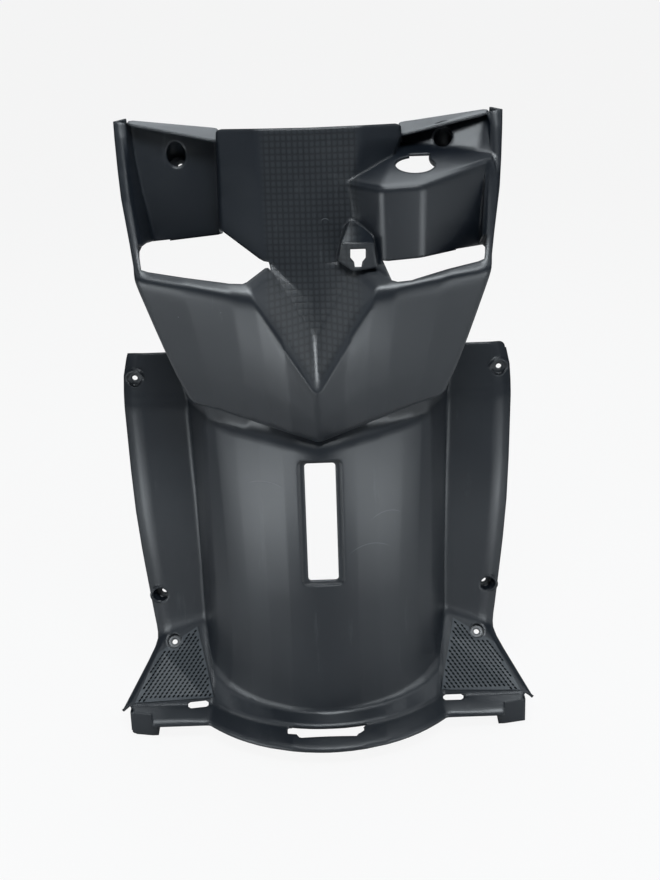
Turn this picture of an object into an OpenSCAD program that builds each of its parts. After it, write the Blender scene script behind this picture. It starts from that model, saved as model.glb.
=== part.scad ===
// Inner leg shield of a scooter: one thin moulded cover with a steering
// column face, two pockets, a key console, a centre tunnel, two leg wings,
// two foot pads and a joining strip. The rider sits on the -Y side.

/* [Overall] */
// Height of the top corners over the underside of the foot
total_h = 597; // [582:1:625]
// Width of the upper body across its top corners
shoulder_w = 342; // [334:1:360]
// Wall thickness of the moulding
wall = 2.5; // [2:0.1:3.2]

/* [Column] */
// Width of the column face between its two creases
column_w = 92; // [80:1:100]
// Width across the outer corners of the column's side facets
facet_w = 161; // [150:1:172]
// Depth of the column face in front of the leg wings, at the top
column_d = 48; // [42:1:56]

/* [Pockets] */
// Height of the pocket sill at its outer end
sill_h = 466; // [456:1:474]
// Depth of the pocket sill at its outer end
sill_d = 76; // [70:1:84]
// Depth of the ceiling edge over the pockets, at the column
visor_d = 33; // [26:1:38]
// Width of the flat strip down the outline of the pockets
strip_face = 6.5; // [5:0.5:8]

/* [Nose] */
// Height of the nose crest on the centre line
nose_h = 366; // [356:1:374]
// Depth of the nose crest on the centre line
nose_d = 115; // [106:1:124]
// Height of the valley where the two V bands meet
valley_h = 403; // [396:1:412]
// Height of the hem of the upper body on the centre line
hem_h = 309.5; // [304:0.5:314]
// Rise of the hem from the centre line to its outer corner
hem_rise = 27; // [20:1:32]
// Inset of the neck behind the hem
neck_inset = 11; // [8:0.5:13]

/* [Tunnel] */
// Depth of the tunnel on the centre line, at its top
tunnel_top_d = 79.5; // [74:0.5:84]
// Depth of the tunnel on the centre line, at its foot
tunnel_foot_d = 85; // [80:1:92]
// Width of the tunnel between the two grooves beside it
tunnel_w = 240; // [232:1:248]

/* [Leg wings] */
// Width across the leg wings at their widest
wing_w = 381; // [372:1:396]
// Height of the top edge of the leg wings
wing_h = 369; // [358:1:374]
// Lean of the wing tops towards the front of the scooter
wing_lean = 42; // [30:1:52]
// Width of the rim that is bent back along each wing
rim_w = 10; // [8:1:14]
// Depth of that rim
rim_d = 8; // [5:0.5:12]

/* [Key console] */
// Depth of the console's front corner
console_d = 93; // [86:1:98]
// Slope of the console's top towards the rider, in degrees
console_fall = 13.3; // [8:0.1:15]
// Radius of the key lock's hole
key_r = 17.5; // [15:0.5:18.5]

/* [Inspection opening] */
// Width of the opening
port_w = 29; // [24:1:32]
// Height of the opening
port_h = 119; // [100:1:122]
// Width of the seat around it for its lid
port_seat = 4.5; // [3:0.5:6]
// Depth of that seat below the tunnel's face
seat_drop = 2; // [1:0.1:2.4]

/* [Fixings] */
// Radius of the screw holes
hole_r = 2.75; // [2:0.05:3.2]
// Radius of the screw cups
cup_r = 7.2; // [6:0.1:7.6]
// Distance between the two upper wing screws
upper_span = 359; // [352:1:362]
// Distance between the two lower wing screws
lower_span = 326; // [318:1:330]
// Distance between the two pad screws
pad_span = 309; // [304:1:314]
// Distance between the two pocket screws
pocket_span = 236; // [230:1:242]

/* [Foot] */
// Width across the foot pads at their lower edge
pad_w = 397; // [386:1:410]
// Depth of the lower edge of the foot pads
pad_d = 48; // [42:1:54]
// Height of the lower edge of the pads and of the ledge
ledge_h = 14; // [12:0.5:18]
// Depth of the ledge on the centre line
ledge_d = 102.5; // [98:0.5:108]
// Height of the step from the ledge down to the joining strip
step_h = 3.5; // [3:0.5:5]
// Width of the joining strip on the centre line
strip_w = 25; // [22:1:30]
// Height of the outer edge of the joining strip
strip_edge_h = 5; // [4:0.5:6]
// How far the end lugs reach below the underside of the foot
lug_drop = 15.5; // [12:0.5:20]

/* [Hidden] */
$fn = 48;

hw = shoulder_w / 2;
cw = column_w / 2;
fw = facet_w / 2;
tw = tunnel_w / 2;
ww = wing_w / 2;
pw = pad_w / 2;

// Plan arcs of the ledge and of the strip's outer edge, by their sagitta
function arc_r(chord, sag) = (chord * chord + sag * sag) / (2 * sag);
pad_in = 117;
ledge_r = arc_r(pad_in, ledge_d - pad_d);
strip_d = ledge_d + strip_w;
strip_side_d = pad_d + 23;
strip_r = arc_r(pad_in, strip_d - strip_side_d);
function ledge_at(x) = ledge_d - ledge_r + sqrt(ledge_r * ledge_r - x * x);
function strip_at(x) = strip_d - strip_r + sqrt(strip_r * strip_r - x * x);
function hem(x, in, dz) = [x, nose_d - 30 - 0.365 * x - in, hem_h + hem_rise * x / 110 + dz];
function on_ledge(x, dz) = [x, ledge_at(x), ledge_h + dz];
function on_strip(x, dz) = [x, strip_at(x), strip_edge_h + dz];
step_z = ledge_h - step_h;

// Sections from the top down, each from the wing rim (first) to the centre
// line (last): half width, depth towards the rider, height. The feature
// lines are rim, wing crease, groove, outline, outline strip, pocket outer
// corner, pocket inner corner, facet corner, column crease, centre.
function above(flange) = [flange, flange, flange];
s_top = concat(above([hw - 7, 2, total_h - 2]), [
    [hw, 26, total_h], [hw - strip_face, 27, total_h - 1], [hw - 12, 27, total_h - 2],
    [fw + 1.5, visor_d, total_h - 18], [fw - 0.5, column_d - 14, total_h - 8],
    [cw, column_d, total_h - 6], [0, column_d + 3, total_h - 6]]);
s_ceiling = concat(above([hw - 8, 2, total_h - 14]), [
    [hw - 0.5, 31, total_h - 14], [hw - strip_face - 0.5, 32, total_h - 15],
    [hw - 9, 12, total_h - 1], [fw + 1.5, 0, total_h - 12],
    [fw, column_d - 13, total_h - 20], [cw, column_d + 2, total_h - 20],
    [0, column_d + 5, total_h - 20]]);
s_upper = concat(above([hw - 10, 4, total_h - 41]), [
    [hw - 2, 39, total_h - 41], [hw - strip_face - 2, 40, total_h - 42],
    [hw - 11, 11.5, total_h - 37], [fw + 1.5, 3, total_h - 37],
    [fw, column_d - 11, total_h - 41], [cw, column_d + 5, total_h - 41],
    [0, column_d + 8, total_h - 41]]);
s_middle = concat(above([hw - 12, 6, total_h - 65]), [
    [hw - 4, 47, total_h - 65], [hw - strip_face - 4, 48, total_h - 66],
    [hw - 15, 11, total_h - 67], [fw + 1.5, 6, total_h - 67],
    [fw + 0.5, column_d - 9, total_h - 67], [cw - 1, column_d + 8, total_h - 67],
    [0, column_d + 12, total_h - 67]]);
s_far = concat(above([hw - 18, 8, sill_h + 28]), [
    [hw - 10, sill_d - 15, sill_h + 28], [hw - strip_face - 10, sill_d - 16, sill_h + 25],
    [hw - 23, 10, sill_h + 16], [fw + 1.5, 10, sill_h + 22],
    [fw + 1, column_d - 6, sill_h + 35], [cw - 3, column_d + 16, sill_h + 9],
    [0, column_d + 20, sill_h + 6]]);
s_near = concat(above([hw - 20, 4, sill_h + 10]), [
    [hw - 13, sill_d - 5, sill_h + 10], [hw - strip_face - 14, sill_d - 3, sill_h + 5],
    [hw - 54, sill_d + 3, sill_h], [fw - 5, sill_d + 9, sill_h - 5],
    [fw - 19, sill_d + 11, sill_h - 5.5], [cw - 4.5, column_d + 21, sill_h + 5],
    [0, column_d + 28, valley_h + 33]]);
s_rim = concat(above([hw - 22, 0, sill_h]), [
    [hw - 13.5, sill_d, sill_h], [hw - strip_face - 14, sill_d + 3, sill_h - 1],
    [hw - 55, sill_d + 9, sill_h - 5], [fw - 8, sill_d + 15, sill_h - 12],
    [fw - 24, sill_d + 16, sill_h - 11.5], [cw - 11, column_d + 23, sill_h - 2],
    [0, column_d + 38, valley_h]]);
s_crest = concat(above([hw - 24, -4, sill_h - 10]), [
    [hw - 16, sill_d - 2, sill_h - 10], [hw - strip_face - 16, sill_d + 1, sill_h - 10.5],
    [hw - 57, sill_d + 8.5, sill_h - 15], [fw - 9, sill_d + 15.5, sill_h - 21],
    [fw - 29.5, sill_d + 19, sill_h - 21], [cw - 16, nose_d - 12.5, nose_h + 46.5],
    [0, nose_d, nose_h]]);
s_panel = [
    [ww - 9, -wing_lean - rim_d, wing_h - 4], [ww - 20, -wing_lean, wing_h],
    [tw + 16, -wing_lean, wing_h],
    [hw - 33, nose_d - 57, wing_h + 27], [hw - strip_face - 32.5, nose_d - 55, wing_h + 26.5],
    [hw - 68, nose_d - 46, wing_h + 23], [fw - 15, nose_d - 32, wing_h + 19],
    [fw - 37, nose_d - 23, wing_h + 16], [cw - 21, nose_d - 15, nose_h + 9],
    [0, nose_d - 9, nose_h - 20]];
s_low = [
    [ww - 1.5, -0.81 * wing_lean - rim_d, wing_h - 28],
    [ww - 12, -0.81 * wing_lean, wing_h - 27],
    [tw + 11, -0.81 * wing_lean, wing_h - 27],
    [hw - 50, nose_d - 69, hem_h + 35.5], [hw - 54.5, nose_d - 67.5, hem_h + 33.5],
    [hw - 77, nose_d - 59, hem_h + 30.5], [fw - 17, nose_d - 45, hem_h + 26.5],
    [fw - 38, nose_d - 36, hem_h + 22.5], [cw - 22.5, nose_d - 25, hem_h + 16.5],
    [0, nose_d - 21, hem_h + 12.5]];
function wing_part(z, lean) = [
    [ww - 0.5, -lean * wing_lean - rim_d + 0.5, z],
    [ww - 0.5 - rim_w, -lean * wing_lean, z]];
s_hem = concat(wing_part(wing_h - 50, 0.69), [
    [tw + 7, -0.69 * wing_lean, wing_h - 50], hem(113, -1, -1), hem(108, 0, -1),
    hem(91, 1, 0), hem(64, 0, 0), hem(44, 0, 0), hem(23, 0, 0), hem(0, 0, 0)]);
s_neck = concat(wing_part(wing_h - 54, 0.66), [
    [tw + 6.5, -0.66 * wing_lean, wing_h - 54], hem(107, neck_inset + 5, -2),
    hem(103, neck_inset + 3, -2), hem(88, neck_inset + 1, -1), hem(62, neck_inset, -1),
    hem(43, neck_inset, -1), hem(22.5, neck_inset, -1), hem(0, neck_inset, -1)]);
s_lip = concat(wing_part(wing_h - 58, 0.64), [
    [tw + 6, -0.64 * wing_lean, wing_h - 58], [tw - 15, tunnel_top_d - 58.5, hem_h + 6.5],
    [tw - 18, tunnel_top_d - 53.5, hem_h + 4], [tw - 30, tunnel_top_d - 46, hem_h + 2.5],
    [tw - 54, tunnel_top_d - 30.5, hem_h + 0.5], [tw - 75, tunnel_top_d - 20, hem_h - 1],
    [22, tunnel_top_d - 9.5, hem_h - 4], [0, tunnel_top_d - 4.5, hem_h - 6]]);
s_shoulder = concat(wing_part(wing_h - 63, 0.6), [
    [tw + 5.5, -0.6 * wing_lean, wing_h - 63], [tw - 13, tunnel_top_d - 59.5, hem_h + 0.5],
    [tw - 17.5, tunnel_top_d - 51.5, hem_h - 0.5], [tw - 29, tunnel_top_d - 42.5, hem_h - 2.5],
    [tw - 54, tunnel_top_d - 26.5, hem_h - 5], [tw - 75, tunnel_top_d - 15.5, hem_h - 7],
    [22, tunnel_top_d - 4.5, hem_h - 10], [0, tunnel_top_d, hem_h - 12]]);
z_mid = 200;
s_mid = [
    [ww - 5, -0.14 * wing_lean - rim_d + 1, z_mid], [ww - 5 - rim_w, -0.14 * wing_lean, z_mid],
    [tw + 1.5, -0.14 * wing_lean, z_mid], [tw - 9, tunnel_foot_d - 63, z_mid],
    [tw - 20, tunnel_foot_d - 45, z_mid], [tw - 36, tunnel_foot_d - 31, z_mid],
    [tw - 56, tunnel_foot_d - 18, z_mid], [tw - 76, tunnel_foot_d - 8.5, z_mid],
    [22, tunnel_foot_d - 2, z_mid], [0, tunnel_foot_d + 1, z_mid]];
z_low = 100;
s_shin = [
    [ww - 15.5, -rim_d + 1, z_low], [ww - 15.5 - rim_w, 0, z_low - 2],
    [tw, 0, z_low], [tw - 9, tunnel_foot_d - 61, z_low],
    [tw - 22, tunnel_foot_d - 41, z_low], [tw - 40, tunnel_foot_d - 25, z_low],
    [tw - 59, tunnel_foot_d - 13, z_low], [tw - 78, tunnel_foot_d - 5, z_low],
    [22, tunnel_foot_d + 1, z_low - 2], [0, tunnel_foot_d + 3.5, z_low - 3]];
s_waist = [
    [ww - 20, -rim_d + 4, ledge_h + 52], [ww - 20 - 9, 2, ledge_h + 58],
    [tw + 1, 3, ledge_h + 72], [tw - 6, tunnel_foot_d - 63, ledge_h + 48],
    [tw - 18, tunnel_foot_d - 45, ledge_h + 36], [tw - 36, tunnel_foot_d - 29, ledge_h + 28],
    [tw - 56, tunnel_foot_d - 17, ledge_h + 22], [tw - 76, tunnel_foot_d - 9, ledge_h + 18],
    [22, tunnel_foot_d - 2.5, ledge_h + 16], [0, tunnel_foot_d, ledge_h + 15]];
s_fillet = [
    [ww - 19, 4, ledge_h + 42], [ww - 19 - 8, 8, ledge_h + 50],
    [tw + 3, 9, ledge_h + 64], [tw - 3, tunnel_foot_d - 59, ledge_h + 30],
    [tw - 13, tunnel_foot_d - 45, ledge_h + 18], [tw - 32, tunnel_foot_d - 29, ledge_h + 11],
    [tw - 53, tunnel_foot_d - 17, ledge_h + 7], [tw - 74, tunnel_foot_d - 8, ledge_h + 5],
    [23, tunnel_foot_d - 0.5, ledge_h + 4.5], [0, tunnel_foot_d + 2.5, ledge_h + 4.5]];
s_ledge = [
    [pw + 9, pad_d + 2, ledge_h - 10], [pw, pad_d, ledge_h], [pad_in, pad_d, ledge_h],
    on_ledge(112, 0), on_ledge(104, 0), on_ledge(88, 0), on_ledge(68, 0),
    on_ledge(46, 0), on_ledge(23, 0), on_ledge(0, 0)];
s_step = [
    [pw + 9, pad_d + 2, step_z], [pw - 2, pad_d + 0.5, step_z],
    [pad_in, pad_d + 0.5, step_z], on_ledge(112, -step_h), on_ledge(104, -step_h),
    on_ledge(88, -step_h), on_ledge(68, -step_h), on_ledge(46, -step_h),
    on_ledge(23, -step_h), on_ledge(0, -step_h)];
s_strip = [
    [pw, strip_side_d, strip_edge_h], [pw - 12, strip_side_d, strip_edge_h],
    [pad_in + 1, strip_side_d, strip_edge_h], on_strip(112, 0), on_strip(104, 0),
    on_strip(88, 0), on_strip(68, 0), on_strip(46, 0), on_strip(23, 0), on_strip(0, 0)];
function drop(p, dz) = [p.x, p.y + 0.5, p.z - dz];
s_hang = [for (p = s_strip) drop(p, strip_edge_h - 1)];

sections = [s_top, s_ceiling, s_upper, s_middle, s_far, s_near, s_rim, s_crest,
    s_panel, s_low, s_hem, s_neck, s_lip, s_shoulder, s_mid, s_shin, s_waist,
    s_fillet, s_ledge, s_step, s_strip, s_hang];

// Key console in the right pocket: it takes the place of the back wall.
// From the outline strip inwards, along its back edge, its front edge and
// its foot.
console_h = total_h - 32;
function top_at(x, d) = [x, d, console_h - (d - 10) * tan(console_fall)];
c_back = [top_at(hw - 7.5, 36), top_at(hw - 20, 32), top_at(fw + 1.5, 10),
    top_at(fw - 8, 36), [36.5, column_d + 9, console_h - 21]];
c_front = [top_at(hw - 10, 44), top_at(hw - 16, 50), top_at(97, console_d - 1),
    top_at(62.5, console_d + 2), [35, column_d + 10, console_h - 23]];
c_foot = [[hw - strip_face - 10, sill_d - 16, sill_h + 25], [hw - 18, 32, sill_h + 11],
    [95.5, 78, sill_h + 13], [64, 79, sill_h + 11], [cw - 3, column_d + 16, sill_h + 9]];
c_sill = [[hw - strip_face - 14, sill_d - 3, sill_h + 5], [hw - 50, sill_d + 3, sill_h],
    [88, sill_d + 10, sill_h - 7], [73, sill_d + 12, sill_h - 8], [cw - 4.5, column_d + 21, sill_h + 5]];

nr = len(sections) - 1;
nc = 18;
function half(c) = min(c, nc - c);
function side(c) = c < 9 ? -1 : 1;
function in_console(r, c) = c > 9 && half(c) >= 4 && half(c) <= 8 && r >= 2 && r <= 5;
function raw(r, c) = !in_console(r, c) ? sections[r][half(c)] :
    [c_back, c_front, c_foot, c_sill][r - 2][half(c) - 4];
net = [for (r = [0:nr]) [for (c = [0:nc]) let (p = raw(r, c)) [side(c) * p.x, -p.y, p.z]]];

// Rounding of each feature line: share of the span towards the rim, share
// towards the centre, and how many points the rounding gets.
soft_cols = [[0, 0, 1], [0.3, 0.15, 3], [0.1, 0.2, 3], [0.2, 0.4, 3], [0.4, 0.4, 2],
    [0.45, 0.45, 3], [0.45, 0.45, 3], [0.45, 0.45, 2], [0.45, 0.45, 3], [0.3, 0.3, 3]];
crisp_cols = [[0, 0, 1], [0.3, 0.15, 3], [0.1, 0.06, 3], [0.05, 0.35, 3], [0.3, 0.12, 2],
    [0.2, 0.06, 3], [0.06, 0.1, 3], [0.1, 0.1, 2], [0.1, 0.09, 3], [0.12, 0.12, 3]];
crisp_rows = 12;
function flip(w) = [w[1], w[0], w[2]];
function col_w(r, c) = let (w = (r <= crisp_rows ? crisp_cols : soft_cols)[half(c)])
    c <= 9 ? w : flip(w);
row_w = [[0, 0, 1], [0.12, 0.16, 3], [0.1, 0.06, 2], [0.08, 0.08, 3], [0, 0, 1], [0, 0, 1],
    [0.3, 0.3, 3], [0.3, 0.12, 3], [0.4, 0.4, 3], [0.4, 0.3, 2], [0.12, 0.2, 3], [0.2, 0.2, 2],
    [0.25, 0.3, 2], [0.4, 0.06, 3], [0.4, 0.4, 3], [0.4, 0.4, 2], [0.3, 0.45, 3],
    [0.45, 0.25, 3], [0.08, 0.35, 3], [0.3, 0.1, 2], [0.08, 0.4, 2], [0, 0, 1]];

// A line's points: [line, share of the line before, of itself, of the next]
function bend(k, a, b, t) = let (u = 1 - t)
    [k, u * u * a, u * u * (1 - a) + 2 * u * t + t * t * (1 - b), t * t * b];
function spread(k, w) = w[2] == 1 ? [[k, 0, 1, 0]] :
    [for (s = [0:w[2] - 1]) bend(k, w[0], w[1], s / (w[2] - 1))];
rows_f = [for (r = [0:nr]) each spread(r, row_w[r])];
cols_f = [for (c = [0:nc]) let (n = crisp_cols[half(c)][2]) each [for (s = [0:n - 1]) [c, n == 1 ? 0 : s / (n - 1), n]]];

function at_col(r, f) = let (c = f[0], w = col_w(r, c), q = bend(c, w[0], w[1], f[1]))
    f[2] == 1 ? net[r][c] :
    q[1] * net[r][max(c - 1, 0)] + q[2] * net[r][c] + q[3] * net[r][min(c + 1, nc)];
coarse = [for (r = [0:nr]) [for (f = cols_f) at_col(r, f)]];
nu = len(cols_f) - 1;
nv = len(rows_f) - 1;
grid = [for (g = rows_f) [for (i = [0:nu])
    g[1] * coarse[max(g[0] - 1, 0)][i] + g[2] * coarse[g[0]][i] + g[3] * coarse[min(g[0] + 1, nr)][i]]];

// A cell is left out where the cover is open: beside the pockets above the
// wings, through the pockets, and outside the strip below the pads.
function line_of(i) = cols_f[i][0];
function row_of(j) = rows_f[j][0];
function gone(i, j) = let (a = half(line_of(i)), b = half(line_of(i + 1)), lo = min(a, b),
    hi = max(a, b), r = row_of(j), s = row_of(j + 1))
    (hi <= 2 && lo < 2 && s <= 8) ||
    (r == 4 && s == 5 && lo >= 4 && hi <= (line_of(i) > 9 ? 7 : 8)) ||
    (lo == 0 && r >= 18 && s > 18);
function present(i, j) = i >= 0 && j >= 0 && i < nu && j < nv && !gone(i, j);
function cell_n(i, j) = cross(grid[j + 1][i + 1] - grid[j][i], grid[j][i + 1] - grid[j + 1][i]);
cells_n = [for (j = [0:nv - 1]) [for (i = [0:nu - 1]) present(i, j) ? cell_n(i, j) : [0, 0, 0]]];
function unit(v) = norm(v) == 0 ? [0, 1, 0] : v / norm(v);
function nrm_at(i, j) = (i < 0 || j < 0 || i >= nu || j >= nv) ? [0, 0, 0] : unit0(cells_n[j][i]);
function unit0(v) = norm(v) == 0 ? v : v / norm(v);
function vert_n(i, j) = unit(nrm_at(i - 1, j - 1) + nrm_at(i, j - 1) + nrm_at(i - 1, j) + nrm_at(i, j));
skin_pts = concat([for (j = [0:nv]) for (i = [0:nu]) grid[j][i]],
    [for (j = [0:nv]) for (i = [0:nu]) grid[j][i] + wall * vert_n(i, j)]);
function id(i, j, l) = l * (nu + 1) * (nv + 1) + j * (nu + 1) + i;
skin_faces = [
    for (j = [0:nv - 1]) for (i = [0:nu - 1]) if (present(i, j)) each [
        [id(i, j, 0), id(i, j + 1, 0), id(i + 1, j + 1, 0)],
        [id(i, j, 0), id(i + 1, j + 1, 0), id(i + 1, j, 0)],
        [id(i, j, 1), id(i + 1, j + 1, 1), id(i, j + 1, 1)],
        [id(i, j, 1), id(i + 1, j, 1), id(i + 1, j + 1, 1)]],
    for (j = [0:nv - 1]) for (i = [0:nu - 1]) if (present(i, j)) each [
        if (!present(i - 1, j)) [id(i, j, 0), id(i, j, 1), id(i, j + 1, 1), id(i, j + 1, 0)],
        if (!present(i + 1, j)) [id(i + 1, j, 0), id(i + 1, j + 1, 0), id(i + 1, j + 1, 1), id(i + 1, j, 1)],
        if (!present(i, j - 1)) [id(i, j, 0), id(i + 1, j, 0), id(i + 1, j, 1), id(i, j, 1)],
        if (!present(i, j + 1)) [id(i, j + 1, 0), id(i, j + 1, 1), id(i + 1, j + 1, 1), id(i + 1, j + 1, 0)]]];

module skin() {
    polyhedron(points = skin_pts, faces = skin_faces, convexity = 10);
}

// Turns +Z onto a direction given as [x, depth, height]
module towards(v) {
    let (w = [v.x, -v.y, v.z]) rotate([0, acos(w.z / norm(w)), atan2(w.y, w.x)]) children();
}
module at(p) {
    translate([p.x, -p.y, p.z]) children();
}
module both_sides() {
    children();
    mirror([1, 0, 0]) children();
}

// Screw cups. Each has the point where its axis meets the floor of the cup,
// the way out along that axis, the cup's length, and a point and normal of
// the face that it opens in.
upper = [upper_span / 2, -0.8 * wing_lean - 1.5, wing_h - 35.4];
lower = [lower_span / 2, -7.5, ledge_h + 98.3];
pad_out = [0, 0.755, 0.656];
pad_at = [pad_span / 2, pad_d - 35.1, ledge_h + 51];
pocket_out = [0, 0.72, 0.69];
pocket_at = [pocket_span / 2 + 2.5, -4, total_h - 47];
cups = [
    [upper, [0, 1, 0], 3.4, cup_r, upper + [0, 4, 0], [0.25, 0.94, -0.25]],
    [lower + [0.8, 0, 0], [0.31, 1, 0], 9.4, cup_r, [lower.x, 1.6, lower.z], [-0.1, 1, 0]],
    [pad_at - 4 * pad_out, pad_out, 4, cup_r, pad_at, pad_out]];
pocket_cup = [pocket_at, pocket_out, 19, cup_r + 1.3, [pocket_at.x, 9.2, total_h - 33],
    [-0.12, 1, 0.1]];
console_cup = [pocket_at, pocket_out, 34, cup_r + 1.3, [pocket_at.x, 16.5, total_h - 25],
    [0, 0.855, 0.52]];

module cup_wall(c) {
    intersection() {
        at(c[0]) towards(c[1]) translate([0, 0, -wall]) cylinder(r = c[3] + wall, h = c[2] + wall + 16);
        at(c[4]) towards(c[5]) translate([0, 0, -60]) cylinder(r = 45, h = 59.4);
    }
}
module cup_bore(c) {
    at(c[0]) towards(c[1]) cylinder(r = c[3], h = c[2] + 12);
}
module screw_hole(p, out) {
    at(p) towards(out) translate([0, 0, -wall - 3]) cylinder(r = hole_r, h = wall + 5);
}

// Rounded rectangle in the plane of the page, from exact arcs
module rounded(w, h, r) {
    square([w - 2 * r, h], center = true);
    square([w, h - 2 * r], center = true);
    for (x = [-1, 1], y = [-1, 1]) translate([x * (w / 2 - r), y * (h / 2 - r)]) circle(r);
}

// Seat of the inspection lid: it lies behind the tunnel's face
port_z = hem_h - 85.5;
port_d = tunnel_foot_d - 2.5;
module on_port() {
    translate([0, -port_d, port_z]) rotate([90 - 3.7, 0, 0]) children();
}
module port_cut() {
    on_port() translate([0, 0, -12]) linear_extrude(24)
        rounded(port_w + 2 * port_seat + 2, port_h + 2 * port_seat - 2, 5);
}
module port_frame() {
    seat_w = port_w + 2 * port_seat + 2;
    seat_h = port_h + 2 * port_seat - 2;
    difference() {
        on_port() translate([0, 0, -seat_drop - wall]) linear_extrude(seat_drop + wall - 1)
            rounded(seat_w + 2 * wall, seat_h + 2 * wall, 7.5);
        on_port() translate([0, 0, -seat_drop]) linear_extrude(12) rounded(seat_w, seat_h, 5);
        on_port() translate([0, 0, -12]) linear_extrude(24) rounded(port_w, port_h, 3);
    }
}

// Bag hook boss on the column's right facet: a hollow block with a
// shield-shaped hole through its face
hook_x = 40;
hook_z = sill_h + 30;
hook_d = sill_d + 13;
module hook_block(t) {
    hull() {
        for (p = [[-14.5 + t, 0, 0], [14 - t, 0, -1], [17 - t, -6, -24.5 + t], [-4, -6, -27.5 + t],
            [-18 + t, -10, -19 + t], [-4 + t, -30, 17 - t], [12 - t, -24, 6 - t]])
            translate([hook_x + p.x, -hook_d - p.y + t, hook_z + p.z]) cube([0.1, 0.1, 0.1]);
        for (p = [[-18 + t, -34, -17 + t], [17 - t, -26, -21 + t], [-9 + t, -38, 14 - t], [14 - t, -30, 4 - t]])
            translate([hook_x + p.x, -hook_d - p.y + t * 3, hook_z + p.z]) cube([0.1, 0.1, 0.1]);
    }
}
module hook_hole() {
    translate([hook_x, -hook_d + 30, hook_z - 6]) rotate([90, 0, 0]) linear_extrude(50)
        polygon([[-6.6, 0.2], [6.6, 0.2], [6.6, -7], [5.6, -10], [2.6, -13], [1.9, -16.5],
            [-1.9, -16.5], [-2.6, -13], [-5.6, -10], [-6.6, -7]]);
}

// Key lock's hole, with a notch at its far side
key_x = 93;
key_d = 55;
module on_console() {
    let (p = top_at(key_x, key_d)) translate([p.x, -p.y, p.z]) rotate([console_fall, 0, 0]) children();
}
module key_hole() {
    on_console() translate([0, 0, -8]) cylinder(r = key_r, h = 16);
    on_console() translate([-4, 0, -8]) cube([18, key_r + 3.8, 16]);
}

// Slots in the joining strip: one below each pad, one along the step
slot_x = 130;
module side_slot() {
    translate([slot_x, -pad_d, 2]) linear_extrude(ledge_h - wall + 0.2 - 2) rounded(21, 11.5, 2.5);
}
module centre_slot() {
    difference() {
        translate([0, 0, 1]) linear_extrude(ledge_h - 1.8) polygon([[-37, -ledge_d + 12], [37, -ledge_d + 12],
            [37, -ledge_d + 3], [27, -ledge_d - 12.5], [-27, -ledge_d - 12.5], [-37, -ledge_d + 3]]);
        translate([0, ledge_r - ledge_d, 0]) cylinder(r = ledge_r + 0.6, h = 30, $fn = 96);
    }
}

// End lugs: open boxes that hang below the ends of the strip
lug_in = pw - 26.5;
lug_out = pw + 1;
lug_d = pad_d + 9.5;
module lug() {
    translate([0, 0, -lug_drop]) difference() {
        linear_extrude(lug_drop + step_z - 1)
            polygon([[lug_in, -lug_d - 4.5], [lug_in + 6, -lug_d - 4.5], [lug_out, -lug_d],
                [lug_out, -lug_d + 16], [lug_in, -lug_d + 16]]);
        translate([0, 0, -1]) linear_extrude(lug_drop + step_z - wall)
            polygon([[lug_in + wall, -lug_d - 2], [lug_in + 6, -lug_d - 2], [lug_out - wall, -lug_d + wall],
                [lug_out - wall, -lug_d + 20], [lug_in + wall, -lug_d + 20]]);
    }
}
module strip_end_cut() {
    translate([0, 0, -1]) linear_extrude(step_z + 4)
        polygon([[lug_out + 12, -lug_d], [lug_out, -lug_d], [lug_in + 6, -lug_d - 4.5],
            [lug_in + 4, -strip_side_d - 4], [lug_out + 12, -strip_side_d - 4]]);
}

// The cover hangs from its two upper wing screws: the origin lies between them
module inner_cover() {
    color([0.12, 0.13, 0.14]) translate([0, upper.y, -upper.z]) difference() {
        union() {
            difference() {
                skin();
                port_cut();
                both_sides() strip_end_cut();
            }
            port_frame();
            hook_block(0);
            both_sides() {
                for (c = cups) cup_wall(c);
                lug();
            }
            mirror([1, 0, 0]) cup_wall(pocket_cup);
            cup_wall(console_cup);
        }
        both_sides() {
            for (c = cups) cup_bore(c);
            screw_hole(upper, [0, 1, 0]);
            screw_hole(lower, [0, 1, 0]);
            screw_hole(cups[2][0], pad_out);
            screw_hole(pocket_at - [2.5, 0, 0], pocket_out);
            side_slot();
        }
        mirror([1, 0, 0]) cup_bore(pocket_cup);
        cup_bore(console_cup);
        hook_block(wall);
        hook_hole();
        key_hole();
        centre_slot();
    }
}

inner_cover();
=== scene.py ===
"""Inner leg shield of a scooter: satin black moulding, woven column face and foot treads."""
from math import cos, pi, radians, sin

import bmesh
import bpy
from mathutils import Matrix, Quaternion, Vector
from mathutils.bvhtree import BVHTree


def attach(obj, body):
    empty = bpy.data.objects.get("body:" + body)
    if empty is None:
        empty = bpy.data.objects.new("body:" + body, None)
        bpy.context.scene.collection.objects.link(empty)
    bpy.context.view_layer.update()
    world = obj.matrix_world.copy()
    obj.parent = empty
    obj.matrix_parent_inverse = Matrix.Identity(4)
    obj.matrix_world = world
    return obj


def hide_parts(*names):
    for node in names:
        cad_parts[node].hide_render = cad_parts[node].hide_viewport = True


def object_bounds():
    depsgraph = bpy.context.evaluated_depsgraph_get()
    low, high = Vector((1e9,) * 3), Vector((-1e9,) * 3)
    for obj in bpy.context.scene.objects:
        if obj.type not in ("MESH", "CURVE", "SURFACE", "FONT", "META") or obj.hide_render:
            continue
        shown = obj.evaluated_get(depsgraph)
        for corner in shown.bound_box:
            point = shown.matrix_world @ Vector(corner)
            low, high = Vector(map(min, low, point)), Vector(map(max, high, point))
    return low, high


MM = 0.001

# Where the solids' own origin lies: depth and height of the upper wing screws
ORIGIN_DEPTH = 35.1
ORIGIN_HEIGHT = 333.6

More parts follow.
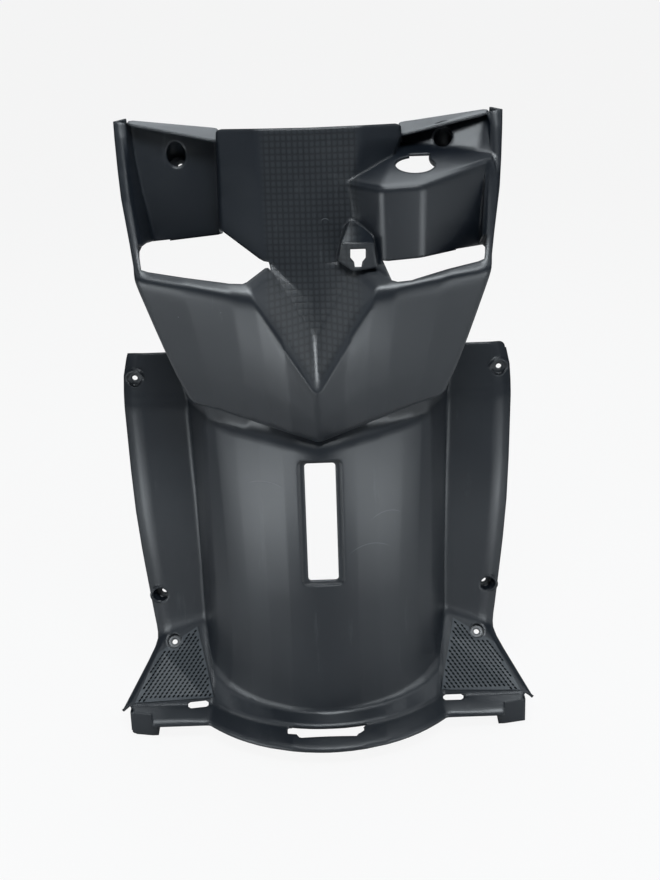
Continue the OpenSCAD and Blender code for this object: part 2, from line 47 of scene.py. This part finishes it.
# The photograph's camera
PHOTO_WIDTH_PX = 660
PHOTO_HEIGHT_PX = 880
FOCAL_PX = 1575
SENSOR_HEIGHT = 24
ELEVATION = radians(22)
AZIMUTH = radians(-0.3)
ROLL = radians(1.8)
DISTANCE = 1.5
TARGET = (10.5, 40, 291.3)

# Point that the lamps face
LIT_POINT = Vector((0, -0.08, -0.05))

# Column face and V bands, which carry the woven pattern: size of a square, half width and fading
# edge of the field, and the slanted crest that it ends above
WEAVE_ACROSS = 5.0
WEAVE_DOWN = 5.6
WEAVE_HALF_WIDTH = 46
WEAVE_FADE = 9
NOSE_CREST_HEIGHT = 366
CREST_SLOPE = 1.55

# Scratches on the tunnel and the column: middle of the arc as (x, z), its radius and half its
# span, in metres
SCRATCHES = (
    ((0.045, -0.165), 0.030, 0.022),
    ((0.062, -0.128), 0.022, 0.016),
    ((-0.052, -0.105), 0.034, 0.018),
    ((0.012, 0.175), 0.004, 0.004),
)

# Moulded edges are this round at the least, and shaded sharp above this angle
EDGE_ROUND = 0.0035
SHARP_ANGLE = radians(36)

# Colours of the moulding and the rubbed treads, and the painted shade of the treads' pits, each
# from dark to light
MOULDING_BLACK = ((0.0035, 0.0055, 0.0090, 1), (0.0060, 0.0086, 0.0125, 1))
TREAD_BLACK = ((0.026, 0.031, 0.036, 1), (0.046, 0.053, 0.060, 1))
PIT_PAINTED_SHADE = ((0.0020, 0.0026, 0.0034, 1), (0.0045, 0.0055, 0.0065, 1))
# Painted highlight on the weave's raised squares, then painted shade in its grooves
THREAD_TOP_HIGHLIGHT = (0.018, 0.021, 0.024, 1)
GROOVE_PAINTED_SHADE = (0.0015, 0.002, 0.0025, 1)
RUBBED_GREY = (0.16, 0.17, 0.18, 1)

# Vertices nearer than this are one
MERGE_DISTANCE = 0.00001

# Openings and corners that the cover is trimmed to, as the photograph's camera sees them, in its
# own pixels
POCKET_END = ((139.5, 252), (142, 246.5), (146.5, 243.2), (152, 241.5), (170, 239.5), (170, 281),
              (150, 280), (142, 275), (139.5, 271))
SLOT_END = ((456, 249.0), (482.4, 244.6), (485, 247), (485, 261.5), (483, 266.5), (456, 273))
HOOK_SHIELD = ((350.4, 249.4), (365.6, 249.4), (365.6, 257.5), (362.2, 261.8), (361.4, 266.8),
               (354.9, 266.8), (354.1, 261.8), (350.4, 257.5))
LEFT_TONGUE_SLOT = ((190.5, 702.3), (206, 700.6), (208.6, 702.3), (208.6, 705), (206.5, 706.6),
                    (191, 708.3), (188.3, 706.6), (188.3, 703.8))
RIGHT_TONGUE_SLOT = ((445.5, 694.6), (461, 694), (463.4, 695.8), (463.4, 698), (461, 699.6),
                     (445.5, 700), (443.2, 698.4), (443.2, 696.2))
CENTRE_SLOT_LEFT = ((287.8, 729.6), (288.8, 728.6), (293.5, 728.3), (300, 730), (303, 737.5),
                    (299.5, 737.4), (296.5, 734.2), (288.4, 733.8), (287.8, 733.2))
CENTRE_SLOT_RIGHT = ((356, 728.8), (364, 728), (364, 730.3), (360, 733), (356, 734))
RIGHT_WING_CORNER = ((499, 339), (499, 340.6), (502, 341.5), (503.6, 342.8), (504.6, 344.6),
                     (505.1, 347), (509, 347), (509, 339))
LEFT_LUG_CORNER = ((131, 729.5), (132.5, 730.2), (132.9, 731.9), (134.2, 733), (136.5, 733.5),
                   (136.5, 735.5), (131, 735.5))

# Each trim with the distances from the camera, in metres, between which it cuts
TRIMS = (
    ("pocket_end", POCKET_END, 1.428, 1.512),
    ("slot_end", SLOT_END, 1.428, 1.512),
    ("hook_shield", HOOK_SHIELD, 1.360, 1.440),
    ("left_tongue", LEFT_TONGUE_SLOT, 1.600, 1.650),
    ("right_tongue", RIGHT_TONGUE_SLOT, 1.600, 1.650),
    ("slot_left", CENTRE_SLOT_LEFT, 1.480, 1.640),
    ("slot_right", CENTRE_SLOT_RIGHT, 1.480, 1.640),
    ("wing_corner", RIGHT_WING_CORNER, 1.480, 1.640),
    ("lug_corner", LEFT_LUG_CORNER, 1.540, 1.760),
)

# Foot pads: depth and height of a point of their plane, and corners of the tread field as
# (distance from the centre, height)
PAD_DEPTH = 12
PAD_HEIGHT = 66
PAD_TILT = radians(49)
TREAD_TOP = ((130.5, 74.5), (172, 56))
TREAD_FOOT = ((115, 20.5), (195, 18.5))
PIT_ACROSS = 4.6
PIT_DOWN = 3.2
PIT_LENGTH = 3.7
PIT_WIDTH = 1.9
PIT_LEAN = radians(44)
TREAD_THICKNESS = 1.3
PIT_SIDES = 10
FIRST_PIT_ACROSS = 105
TREAD_MARGIN = 1.8
TREAD_GAP = 0.15
PAD_SCREW = (154.5, 65)
PAD_SCREW_CLEAR = 9.4
PAD_BAY_RADIUS = 8.4

# Pale floor: size in metres, grey, share of plain white that the camera sees, gap under the object
FLOOR_SIZE = 40
FLOOR_GREY = 0.50
FLOOR_GLOW = 0.90
FLOOR_GAP = 0.001

# Soft boxes: elevation and azimuth in degrees, distance and size in metres, power in watts
SOFT_BOXES = (
    ("overhead", 74, 170, 1.6, (1.2, 1.2), 16),
    ("front_top", 53, 6, 1.7, (1.0, 0.45), 26),
    ("left_side", 33, -72, 1.8, (0.8, 0.8), 2.5),
    ("right_side", 33, 72, 1.8, (0.8, 0.8), 3),
    ("low_left", -15, -50, 0.9, (0.6, 0.12), 2.2),
    ("low_right", -15, 50, 0.9, (0.6, 0.12), 1.7),
    ("rear", 30, 180, 2.0, (1.0, 0.6), 4),
)
LAMP_TINT = (0.90, 0.96, 1.0)
ROOM_TINT = (0.80, 0.90, 1.0, 1)
ROOM_STRENGTH = 0.10
WHITE = (1, 1, 1, 1)


def place(x, depth, height):
    """A point in metres, from its distance to the right, its depth and its height in mm."""
    return Vector((x, -depth - ORIGIN_DEPTH, height - ORIGIN_HEIGHT)) * MM


def feed(tree, socket, value):
    """Links a socket to another one, or sets its value."""
    if isinstance(value, bpy.types.NodeSocket):
        tree.links.new(value, socket)
    else:
        socket.default_value = value


def add_node(tree, kind, inputs=(), **settings):
    """Adds a node with its settings and its inputs, which are values or linked sockets."""
    made = tree.nodes.new(kind)
    for name, value in settings.items():
        setattr(made, name, value)
    for socket, value in dict(inputs).items():
        feed(tree, made.inputs[socket], value)
    return made


class Finish:
    """A material being put together from shader nodes."""

    def __init__(self, name):
        self.material = bpy.data.materials.new(name)
        self.material.use_nodes = True
        self.tree = self.material.node_tree
        self.shader = self.tree.nodes["Principled BSDF"]
        self.output = self.tree.nodes["Material Output"]
        self.coords = self.tree.nodes.new("ShaderNodeTexCoord").outputs["Object"]

    def node(self, kind, inputs=(), **settings):
        return add_node(self.tree, kind, inputs, **settings)

    def feed(self, name, value):
        """Feeds an input of the shader itself."""
        feed(self.tree, self.shader.inputs[name], value)

    def maths(self, operation, first, second=0.0, clamp=False):
        made = self.node("ShaderNodeMath", {0: first, 1: second}, operation=operation,
                         use_clamp=clamp)
        return made.outputs[0]

    def step(self, value, low, high):
        """0 below low, 1 above high, smooth between them."""
        limits = {"Value": value, "From Min": low, "From Max": high}
        made = self.node("ShaderNodeMapRange", limits, interpolation_type="SMOOTHSTEP")
        return made.outputs["Result"]

    def noise(self, scale, detail=3.0, roughness=0.5, stretch=(1, 1, 1)):
        moved = self.node("ShaderNodeMapping", {"Vector": self.coords, "Scale": stretch})
        inputs = {"Vector": moved.outputs["Vector"], "Scale": scale, "Detail": detail,
                  "Roughness": roughness}
        return self.node("ShaderNodeTexNoise", inputs).outputs["Fac"]

    def blend(self, share, first, second):
        made = self.node("ShaderNodeMix", {0: share, 6: first, 7: second}, data_type="RGBA")
        return made.outputs[2]

    def bump(self, height, strength, distance, below=None):
        inputs = {"Height": height, "Strength": strength, "Distance": distance}
        if below is not None:
            inputs["Normal"] = below
        return self.node("ShaderNodeBump", inputs).outputs["Normal"]

    def axes(self):
        split = self.node("ShaderNodeSeparateXYZ", {"Vector": self.coords})
        return split.outputs["X"], split.outputs["Y"], split.outputs["Z"]


def grain(finish, below=None):
    """The fine spark-eroded grain of the moulding."""
    fine = finish.noise(1900, detail=2.0, roughness=0.6)
    coarse = finish.noise(620, detail=2.0)
    height = finish.maths("ADD", finish.maths("MULTIPLY", fine, 0.7),
                          finish.maths("MULTIPLY", coarse, 0.5))
    return finish.bump(height, 0.35, 0.00012, below)


def wear(finish):
    """Share of pale rubbed places: faint streaks and a few specks of dust."""
    drawn = finish.noise(90, detail=5.0, roughness=0.7, stretch=(1, 1, 0.12))
    streaks = finish.step(drawn, 0.60, 0.78)
    cells = finish.node("ShaderNodeTexVoronoi", {"Vector": finish.coords, "Scale": 34.0},
                        feature="F1")
    specks = finish.maths("SUBTRACT", 1.0, finish.step(cells.outputs["Distance"], 0.010, 0.026))
    kept = finish.step(finish.noise(17, detail=1.0), 0.55, 0.60)
    specks = finish.maths("MULTIPLY", specks, kept)
    return finish.maths("ADD", finish.maths("MULTIPLY", streaks, 0.10),
                        finish.maths("MULTIPLY", specks, 0.6), clamp=True)


def weave_share(finish):
    """Where the woven pattern shows: on the rider's side of the column face and of the V bands."""
    x, _, z = finish.axes()
    across = finish.maths("ABSOLUTE", x)
    outside = finish.step(across, (WEAVE_HALF_WIDTH - WEAVE_FADE) * MM, WEAVE_HALF_WIDTH * MM)
    inside = finish.maths("SUBTRACT", 1.0, outside)
    crest = finish.maths("ADD", finish.maths("MULTIPLY", across, CREST_SLOPE),
                         (NOSE_CREST_HEIGHT - ORIGIN_HEIGHT) * MM)
    above = finish.step(finish.maths("SUBTRACT", z, crest), 0.002, 0.010)
    outwards = finish.node("ShaderNodeNewGeometry").outputs["True Normal"]
    facing = finish.node("ShaderNodeSeparateXYZ", {"Vector": outwards})
    rider_side = finish.step(finish.maths("MULTIPLY", facing.outputs["Y"], -1.0), 0.0, 0.2)
    return finish.maths("MULTIPLY", finish.maths("MULTIPLY", inside, above), rider_side)


def weave_height(finish):
    """Height of the woven pattern: rounded squares with a fine groove between them."""
    x, _, z = finish.axes()
    across = finish.maths("MULTIPLY", x, pi / (WEAVE_ACROSS * MM))
    down = finish.maths("MULTIPLY", z, pi / (WEAVE_DOWN * MM))
    over = finish.maths("ABSOLUTE", finish.maths("SINE", across))
    under = finish.maths("ABSOLUTE", finish.maths("SINE", down))
    return finish.maths("POWER", finish.maths("MULTIPLY", over, under), 0.5)


def arc_scratch(finish, middle, radius, half_span):
    """Share of a hair-thin arc scratch over a middle, which is (x, z) in metres."""
    x, _, z = finish.axes()
    offset = {"X": finish.maths("SUBTRACT", x, middle[0]),
              "Y": finish.maths("SUBTRACT", z, middle[1])}
    flat = finish.node("ShaderNodeCombineXYZ", offset)
    reach = finish.node("ShaderNodeVectorMath", {0: flat.outputs["Vector"]}, operation="LENGTH")
    off = finish.maths("ABSOLUTE", finish.maths("SUBTRACT", reach.outputs["Value"], radius))
    line = finish.maths("SUBTRACT", 1.0, finish.step(off, 0.0001, 0.0005))
    beside = finish.maths("ABSOLUTE", finish.maths("SUBTRACT", x, middle[0]))
    near = finish.maths("SUBTRACT", 1.0, finish.step(beside, half_span * 0.5, half_span))
    above = finish.step(finish.maths("SUBTRACT", z, middle[1]), 0.0, radius * 0.3)
    return finish.maths("MULTIPLY", finish.maths("MULTIPLY", line, near), above)


def satin_black_moulding():
    """Black polypropylene with a fine grain, rubbed places and the column face's woven pattern,
    whose raised squares carry a painted highlight and whose grooves carry painted shade.
    """
    finish = Finish("satin_black_moulding")
    tone = finish.noise(11, detail=4.0)
    base = finish.blend(finish.step(tone, 0.3, 0.7), *MOULDING_BLACK)
    shown = weave_share(finish)
    threads = weave_height(finish)
    # Painted shade in the weave's grooves and a painted highlight on its raised squares
    shaded_grooves = finish.maths("MULTIPLY", shown, finish.maths("SUBTRACT", 1.0, threads))
    highlighted_tops = finish.maths("MULTIPLY", shown, finish.step(threads, 0.45, 0.75))
    base = finish.blend(finish.maths("MULTIPLY", highlighted_tops, 0.6), base, THREAD_TOP_HIGHLIGHT)
    base = finish.blend(finish.maths("MULTIPLY", shaded_grooves, 0.75), base, GROOVE_PAINTED_SHADE)
    rubbed = wear(finish)
    for middle, radius, half_span in SCRATCHES:
        scratch = finish.maths("MULTIPLY", arc_scratch(finish, middle, radius, half_span), 0.35)
        rubbed = finish.maths("MAXIMUM", rubbed, scratch)
    base = finish.blend(rubbed, base, RUBBED_GREY)
    rough = finish.maths("ADD", finish.maths("MULTIPLY", tone, 0.10), 0.32)
    rough = finish.maths("ADD", rough, finish.maths("MULTIPLY", rubbed, 0.25), clamp=True)
    rounded = finish.node("ShaderNodeBevel", {"Radius": EDGE_ROUND}, samples=6).outputs["Normal"]
    normal = finish.bump(finish.maths("MULTIPLY", threads, shown), 0.14, 0.0005, rounded)
    finish.feed("Base Color", base)
    finish.feed("Roughness", rough)
    finish.feed("Normal", grain(finish, normal))
    finish.feed("Specular IOR Level", 0.7)
    return finish.material


def tread_rubbed_black():
    """The treads of the foot pads: the same plastic, rubbed paler on its ridges."""
    finish = Finish("tread_rubbed_black")
    tone = finish.noise(40, detail=3.0)
    base = finish.blend(tone, *TREAD_BLACK)
    finish.feed("Base Color", base)
    finish.feed("Roughness", 0.42)
    finish.feed("Normal", grain(finish))
    return finish.material


def pit_painted_shade():
    """Painted shade: a near-black finish on the walls and floors of the tread's pits and on the
    plate's edge, standing in for their unlit depth.
    """
    finish = Finish("pit_painted_shade")
    tone = finish.noise(60, detail=2.0)
    base = finish.blend(tone, *PIT_PAINTED_SHADE)
    finish.feed("Base Color", base)
    finish.feed("Roughness", 0.75)
    finish.feed("Specular IOR Level", 0.15)
    return finish.material


def socket_id(tree, name):
    """The identifier of one of a node tree's inputs, which a modifier needs."""
    for item in tree.interface.items_tree:
        if item.item_type == "SOCKET" and item.in_out == "INPUT" and item.name == name:
            return item.identifier
    raise KeyError(name)


def shade_moulding(mesh):
    """Shades the rounded edges as curves and keeps the sharp ones."""
    built = bmesh.new()
    built.from_mesh(mesh)
    for face in built.faces:
        face.smooth = True
    for edge in built.edges:
        edge.smooth = edge.calc_face_angle(pi) < SHARP_ANGLE
    built.to_mesh(mesh)
    built.free()


def direction(elevation, azimuth):
    """The way out from the object at an elevation and an azimuth, with the rider's side at zero."""
    return Vector((sin(azimuth) * cos(elevation), -cos(azimuth) * cos(elevation), sin(elevation)))


def camera_pose():
    """Where the photograph's camera stands and how it is turned."""
    away = direction(ELEVATION, AZIMUTH)
    aimed = (-away).to_track_quat("-Z", "Y")
    return place(*TARGET) + away * DISTANCE, aimed @ Quaternion((0, 0, 1), -ROLL)


def sight_prism(name, outline, near, far):
    """A prism along the camera's sight lines through an outline, between two distances."""
    eye, turn = camera_pose()
    rings = []
    for distance in (near, far):
        for across, down in outline:
            line = turn @ Vector((across - PHOTO_WIDTH_PX / 2, PHOTO_HEIGHT_PX / 2 - down,
                                  -FOCAL_PX))
            rings.append(eye + line.normalized() * distance)
    count = len(outline)
    faces = [tuple(range(count)), tuple(reversed(range(count, 2 * count)))]
    faces += [(i, i + count, (i + 1) % count + count, (i + 1) % count) for i in range(count)]
    mesh = bpy.data.meshes.new(name)
    mesh.from_pydata([tuple(p) for p in rings], [], faces)
    built = bmesh.new()
    built.from_mesh(mesh)
    bmesh.ops.recalc_face_normals(built, faces=built.faces)
    built.to_mesh(mesh)
    built.free()
    made = bpy.data.objects.new(name, mesh)
    bpy.context.collection.objects.link(made)
    return made


def trimmed_cover(node):
    """A merged copy of the solid, trimmed at its openings' ends and two corners."""
    mesh = node.data.copy()
    mesh.name = "moulded_cover"
    built = bmesh.new()
    built.from_mesh(mesh)
    bmesh.ops.remove_doubles(built, verts=built.verts, dist=MERGE_DISTANCE)
    built.to_mesh(mesh)
    built.free()
    made = bpy.data.objects.new("moulded_cover", mesh)
    bpy.context.collection.objects.link(made)
    cutters = [sight_prism(*trim) for trim in TRIMS]
    for cutter in cutters:
        cut = made.modifiers.new(cutter.name, "BOOLEAN")
        cut.operation = "DIFFERENCE"
        cut.solver = "EXACT"
        cut.object = cutter
    depsgraph = bpy.context.evaluated_depsgraph_get()
    done = bpy.data.meshes.new_from_object(made.evaluated_get(depsgraph))
    made.modifiers.clear()
    made.data = done
    for cutter in cutters:
        bpy.data.objects.remove(cutter)
    done.materials.clear()
    done.materials.append(satin_black_moulding())
    shade_moulding(done)
    weighted = made.modifiers.new("flat_faces_lead", "WEIGHTED_NORMAL")
    weighted.keep_sharp = True
    weighted.weight = 60
    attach(made, "root")
    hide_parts("inner_cover")
    return made


def pad_frame(side):
    """The plane of a foot pad: a point on it, and its directions across, down and out."""
    across = Vector((side, 0, 0))
    down = Vector((0, -cos(PAD_TILT), -sin(PAD_TILT)))
    out = Vector((0, -sin(PAD_TILT), cos(PAD_TILT)))
    return place(0, PAD_DEPTH, PAD_HEIGHT), across, down, out


def on_pad(distance, height):
    """A point of the pad's plane, (across, down) in metres, from distance and height in mm."""
    return Vector((distance * MM, (PAD_HEIGHT - height) * MM / sin(PAD_TILT)))


def edge_side(start, end, point):
    """How far inside an edge a point lies, with the field's corners given clockwise."""
    along = (end - start).normalized()
    away = point - start
    return along.x * away.y - along.y * away.x


def tread_field():
    """Corners of the tread field and staggered middles of its pits, (across, down) in metres."""
    (top_in, top_in_h), (top_out, top_out_h) = TREAD_TOP
    (foot_in, foot_in_h), (foot_out, foot_out_h) = TREAD_FOOT
    corners = [on_pad(top_in, top_in_h), on_pad(top_out, top_out_h),
               on_pad(foot_out, foot_out_h), on_pad(foot_in, foot_in_h)]
    screw = on_pad(*PAD_SCREW)
    middles = []
    for row in range(-4, 30):
        for column in range(0, 40):
            across = FIRST_PIT_ACROSS + (column + 0.5 * (row % 2)) * PIT_ACROSS
            point = Vector((across * MM, row * PIT_DOWN * MM))
            if (point - screw).length < PAD_SCREW_CLEAR * MM:
                continue
            depths = [edge_side(corners[i], corners[(i + 1) % 4], point) for i in range(4)]
            if min(depths) > TREAD_MARGIN * MM:
                middles.append(point)
    return corners, middles


def tread_outline(corners):
    """Edge of the tread plate: the field's corners with a bay around the pad's screw."""
    screw = on_pad(*PAD_SCREW)
    bay = PAD_BAY_RADIUS * MM
    outline = []
    for index, corner in enumerate(corners):
        following = corners[(index + 1) % 4]
        steps = 24 if index == 0 else 10
        for step in range(steps):
            point = corner.lerp(following, step / steps)
            away = point - screw
            if away.length < bay:
                inwards = Vector((away.x, bay))
                point = screw + inwards.normalized() * bay
            outline.append(point)
    return outline


def tread_tree(plate_finish, pit_shade_finish):
    """Node tree that fills an outline with a plate, with a slanted pit at each marked point, and
    paints shade on the walls and pit floors.
    """
    tree = bpy.data.node_groups.new("tread_plate", "GeometryNodeTree")
    new = tree.interface.new_socket
    new("Geometry", in_out="INPUT", socket_type="NodeSocketGeometry")
    sizes = (("Pit Length", PIT_LENGTH * MM), ("Pit Width", PIT_WIDTH * MM),
             ("Thickness", TREAD_THICKNESS * MM), ("Lean", PIT_LEAN))
    for name, value in sizes:
        new(name, in_out="INPUT", socket_type="NodeSocketFloat").default_value = value
    new("Geometry", in_out="OUTPUT", socket_type="NodeSocketGeometry")

    def add(kind, output, inputs, **settings):
        return add_node(tree, "GeometryNode" + kind, inputs, **settings).outputs[output]

    def scaled(socket, factor):
        return add_node(tree, "ShaderNodeMath", {0: socket, 1: factor},
                        operation="MULTIPLY").outputs[0]

    def vector(**parts):
        return add_node(tree, "ShaderNodeCombineXYZ", parts).outputs["Vector"]

    def flagged(name):
        return add("InputNamedAttribute", "Attribute", {"Name": name}, data_type="BOOLEAN")

    def joined(*parts):
        join = add_node(tree, "GeometryNodeJoinGeometry")
        for part in parts:
            tree.links.new(part, join.inputs["Geometry"])
        return join.outputs["Geometry"]

    given = tree.nodes.new("NodeGroupInput").outputs
    circle = add("CurvePrimitiveCircle", "Curve", {"Resolution": PIT_SIDES, "Radius": 1.0})
    halves = vector(X=scaled(given["Pit Length"], 0.5), Y=scaled(given["Pit Width"], 0.5), Z=1.0)
    oval = add("Transform", "Geometry", {"Geometry": circle, "Scale": halves})
    turned = add("Transform", "Geometry", {"Geometry": oval, "Rotation": vector(Z=given["Lean"])})
    pits = add("InstanceOnPoints", "Instances",
               {"Points": given["Geometry"], "Selection": flagged("pit"), "Instance": turned})
    pit_rims = add("RealizeInstances", "Geometry", {"Geometry": pits})
    rim = add("MeshToCurve", "Curve", {"Mesh": given["Geometry"]})
    curves = joined(rim, pit_rims)
    plate = add("FillCurve", "Mesh", {"Curve": curves})
    lines = add("CurveToMesh", "Mesh", {"Curve": curves})
    downwards = vector(Z=scaled(given["Thickness"], -1.0))
    walls = add("ExtrudeMesh", "Mesh", {"Mesh": lines, "Offset": downwards, "Offset Scale": 1.0},
                mode="EDGES")
    floors = add("FillCurve", "Mesh", {"Curve": pit_rims})
    sunk = add("Transform", "Geometry", {"Geometry": floors, "Translation": downwards})
    marked = add("StoreNamedAttribute", "Geometry",
                 {"Geometry": plate, "Name": "plate", "Value": True},
                 data_type="BOOLEAN", domain="FACE")
    whole = joined(marked, walls, sunk)
    closed = add("MergeByDistance", "Geometry", {"Geometry": whole, "Distance": MERGE_DISTANCE})
    real = add("RealizeInstances", "Geometry", {"Geometry": closed})
    # Painted shade: every face but the plate's top takes the near-black pit finish
    dark = add("SetMaterial", "Geometry", {"Geometry": real, "Material": pit_shade_finish})
    dressed = add("SetMaterial", "Geometry",
                  {"Geometry": dark, "Selection": flagged("plate"), "Material": plate_finish})
    tree.links.new(dressed, tree.nodes.new("NodeGroupOutput").inputs["Geometry"])
    return tree


def cover_surface(node):
    """A search tree over the solid's faces, for setting pieces on it."""
    return BVHTree.FromObject(node, bpy.context.evaluated_depsgraph_get())


def laid_on_pad(mesh, side, surface, lift):
    """Moves a flat mesh, (across, down, height), onto a pad's face, with its faces outwards."""
    base, across, down, out = pad_frame(side)
    for vertex in mesh.vertices:
        flat = vertex.co.copy()
        level = base + across * flat.x + down * flat.y
        hit, _, _, _ = surface.ray_cast(level + out * 0.02, -out, 0.05)
        vertex.co = (level if hit is None else hit) + out * (flat.z + lift)
    built = bmesh.new()
    built.from_mesh(mesh)
    bmesh.ops.recalc_face_normals(built, faces=built.faces)
    widest = max(built.faces, key=lambda face: face.calc_area())
    if widest.normal.dot(out) < 0:
        bmesh.ops.reverse_faces(built, faces=built.faces)
    built.to_mesh(mesh)
    built.free()


def foot_tread(side, surface, plate_finish, pit_shade_finish):
    """The pierced plate of one foot pad, made by the node tree and laid on the pad."""
    name = "left_tread" if side < 0 else "right_tread"
    corners, middles = tread_field()
    outline = tread_outline(corners)
    count = len(outline)
    points = [(p.x, p.y, 0.0) for p in outline + middles]
    seed = bpy.data.meshes.new(name + "_plan")
    seed.from_pydata(points, [(i, (i + 1) % count) for i in range(count)], [])
    marks = seed.attributes.new("pit", "BOOLEAN", "POINT")
    marks.data.foreach_set("value", [index >= count for index in range(len(points))])
    carrier = bpy.data.objects.new(name + "_plan", seed)
    bpy.context.collection.objects.link(carrier)
    tree = tread_tree(plate_finish, pit_shade_finish)
    modifier = carrier.modifiers.new("plate", "NODES")
    modifier.node_group = tree
    modifier[socket_id(tree, "Lean")] = PIT_LEAN
    depsgraph = bpy.context.evaluated_depsgraph_get()
    mesh = bpy.data.meshes.new_from_object(carrier.evaluated_get(depsgraph))
    mesh.name = name
    bpy.data.objects.remove(carrier)
    laid_on_pad(mesh, side, surface, (TREAD_THICKNESS + TREAD_GAP) * MM)
    return riding(name, mesh)


def riding(name, mesh):
    """An object for a finished mesh that rides on the cover."""
    made = bpy.data.objects.new(name, mesh)
    bpy.context.collection.objects.link(made)
    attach(made, "root")
    return made


def studio_floor(lowest):
    """Pale floor and backdrop that show white behind the object."""
    pale = Finish("pale_paper")
    pale.feed("Base Color", (FLOOR_GREY, FLOOR_GREY, FLOOR_GREY, 1))
    pale.feed("Roughness", 0.9)
    seen = pale.node("ShaderNodeLightPath").outputs["Is Camera Ray"]
    glow = pale.node("ShaderNodeEmission", {"Color": WHITE, "Strength": 1.0})
    mixed = pale.node("ShaderNodeMixShader", {0: pale.maths("MULTIPLY", seen, FLOOR_GLOW),
                                              1: pale.shader.outputs["BSDF"],
                                              2: glow.outputs["Emission"]})
    pale.tree.links.new(mixed.outputs["Shader"], pale.output.inputs["Surface"])
    bpy.ops.mesh.primitive_plane_add(size=FLOOR_SIZE, location=(0, 0, lowest - FLOOR_GAP))
    floor = bpy.context.object
    floor.name = "floor"
    floor.data.materials.append(pale.material)


def soft_box(name, elevation, azimuth, distance, size, power):
    """A large soft lamp that stands in a direction from the middle of the object and faces it."""
    data = bpy.data.lights.new(name, "AREA")
    data.shape = "RECTANGLE"
    data.size, data.size_y = size
    data.energy = power
    data.color = LAMP_TINT
    lamp = bpy.data.objects.new(name, data)
    bpy.context.collection.objects.link(lamp)
    away = direction(radians(elevation), radians(azimuth))
    lamp.location = LIT_POINT + away * distance
    lamp.rotation_euler = (-away).to_track_quat("-Z", "Y").to_euler()
    lamp.visible_camera = False
    return lamp


def studio_light():
    """Soft boxes around the object, and a faint room that the camera sees as white."""
    for lamp in SOFT_BOXES:
        soft_box(*lamp)
    world = bpy.data.worlds.new("pale_room")
    world.use_nodes = True
    tree = world.node_tree
    room = tree.nodes["Background"]
    room.inputs["Color"].default_value = ROOM_TINT
    room.inputs["Strength"].default_value = ROOM_STRENGTH
    white = add_node(tree, "ShaderNodeBackground", {"Color": WHITE, "Strength": 1.0})
    path = add_node(tree, "ShaderNodeLightPath")
    mixed = add_node(tree, "ShaderNodeMixShader", {0: path.outputs["Is Camera Ray"],
                                                   1: room.outputs["Background"],
                                                   2: white.outputs["Background"]})
    tree.links.new(mixed.outputs["Shader"], tree.nodes["World Output"].inputs["Surface"])
    bpy.context.scene.world = world


def photo_camera():
    """The camera of the photograph, rolled a little as it was."""
    data = bpy.data.cameras.new("photo_camera")
    data.sensor_fit = "VERTICAL"
    data.sensor_height = SENSOR_HEIGHT
    data.lens = FOCAL_PX / PHOTO_HEIGHT_PX * data.sensor_height
    camera = bpy.data.objects.new("photo_camera", data)
    bpy.context.collection.objects.link(camera)
    camera.rotation_mode = "QUATERNION"
    camera.location, camera.rotation_quaternion = camera_pose()
    bpy.context.scene.camera = camera


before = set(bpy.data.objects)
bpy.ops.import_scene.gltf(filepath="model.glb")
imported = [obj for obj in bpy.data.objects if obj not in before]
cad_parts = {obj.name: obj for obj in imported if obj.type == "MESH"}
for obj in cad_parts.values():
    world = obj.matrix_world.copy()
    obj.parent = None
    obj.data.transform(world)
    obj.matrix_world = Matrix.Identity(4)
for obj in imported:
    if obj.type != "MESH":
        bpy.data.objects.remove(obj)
solid_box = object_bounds()
bpy.context.scene.view_settings.view_transform = "Standard"
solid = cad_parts["inner_cover"]
face = cover_surface(solid)
trimmed_cover(solid)
tread_finish = tread_rubbed_black()
pit_shade_finish = pit_painted_shade()
for pad_side in (-1, 1):
    foot_tread(pad_side, face, tread_finish, pit_shade_finish)
studio_floor(solid_box[0][2])
studio_light()
photo_camera()
